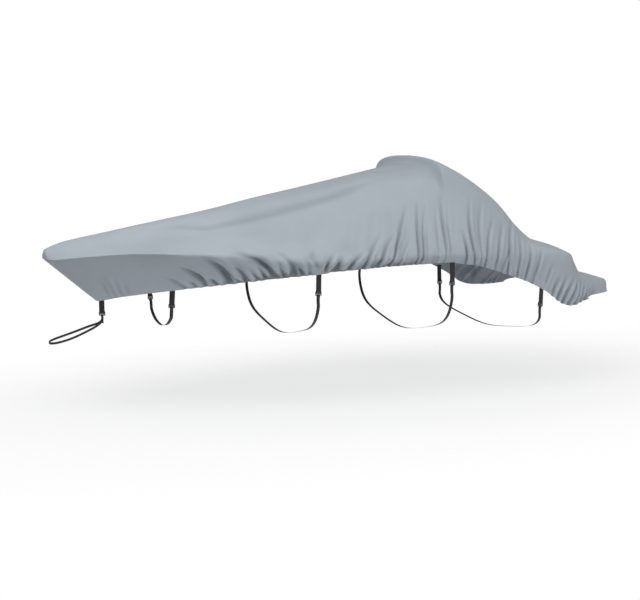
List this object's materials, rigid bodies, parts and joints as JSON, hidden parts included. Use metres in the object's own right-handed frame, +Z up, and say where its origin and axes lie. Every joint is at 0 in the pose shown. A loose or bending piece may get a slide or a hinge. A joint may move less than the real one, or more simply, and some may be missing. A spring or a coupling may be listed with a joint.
{
  "type": "boat cover",
  "caption": "Fitted woven cover for an open runabout: hollow cloth shell raised over the windshield, stepped at the swim platform, with hem tabs, adjusters and straps under the hull.",
  "frame": {"origin": "the underside of the cloth on the centre line, under the top of the windshield hump, where the boat's windshield holds the cover up", "axes": "+X towards the stern, +Y to starboard, +Z up"},
  "size_m": [6.727, 2.4239, 2.1019],
  "materials": {
    "woven_polyester": "coated plain weave, matt with a faint sheen",
    "black_webbing": "woven polyester webbing, matt",
    "black_acetal": "moulded, satin"
  },
  "bodies": {
    "root": {"port_panel": "woven_polyester", "starboard_panel": "woven_polyester", "stern_panel": "woven_polyester", "bow_tab": "black_webbing", "tab_port_1": "black_webbing", "tab_port_2": "black_webbing", "tab_port_3": "black_webbing", "tab_port_4": "black_webbing", "tab_starboard_1": "black_webbing", "tab_starboard_2": "black_webbing", "tab_starboard_3": "black_webbing", "tab_starboard_4": "black_webbing", "bow_strap": "black_webbing", "strap_1": "black_webbing", "strap_2": "black_webbing", "strap_3": "black_webbing", "strap_4": "black_webbing", "bow_buckle": "black_acetal", "buckle_port_1": "black_acetal", "buckle_port_2": "black_acetal", "buckle_port_3": "black_acetal", "buckle_port_4": "black_acetal", "buckle_starboard_1": "black_acetal", "buckle_starboard_2": "black_acetal", "buckle_starboard_3": "black_acetal", "buckle_starboard_4": "black_acetal"}
  },
  "joints": []
}
